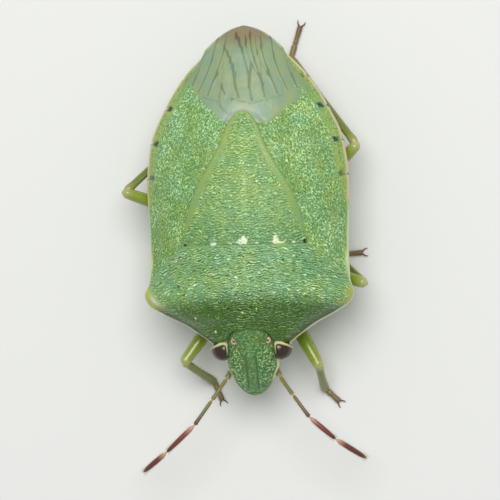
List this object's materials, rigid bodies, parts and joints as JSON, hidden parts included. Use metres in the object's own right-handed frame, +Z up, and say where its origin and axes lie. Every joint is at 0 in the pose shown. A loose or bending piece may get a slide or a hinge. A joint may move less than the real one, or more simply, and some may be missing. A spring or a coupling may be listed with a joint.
{
  "type": "shield bug model",
  "caption": "Still life-size model of an adult green shield bug, standing with wings closed and feelers spread.",
  "frame": {"origin": "on the floor, under the middle of the whole animal's box, feelers and feet included", "axes": "+Z up, +Y towards the tail, so the head points along -Y; +X is the bug's own left side"},
  "size_m": [0.0102, 0.0188, 0.0059],
  "materials": {
    "shell": "satin",
    "wing": "satin",
    "eye": "gloss",
    "feeler": "satin",
    "leg": "gloss",
    "foot": "satin",
    "underside": "satin"
  },
  "bodies": {
    "root": {"pronotum": "shell", "scutellum": "shell", "head": "shell", "wing_left": "wing", "wing_right": "wing", "eye_left": "eye", "eye_right": "eye", "feeler_left": "feeler", "feeler_right": "feeler", "beak": "leg", "thorax": "underside", "abdomen": "underside", "thigh_front_left": "leg", "shin_front_left": "leg", "foot_front_left": "foot", "thigh_front_right": "leg", "shin_front_right": "leg", "foot_front_right": "foot", "thigh_middle_left": "leg", "shin_middle_left": "leg", "foot_middle_left": "foot", "thigh_middle_right": "leg", "shin_middle_right": "leg", "foot_middle_right": "foot", "thigh_hind_left": "leg", "shin_hind_left": "leg", "foot_hind_left": "foot", "thigh_hind_right": "leg", "shin_hind_right": "leg", "foot_hind_right": "foot"}
  },
  "joints": []
}
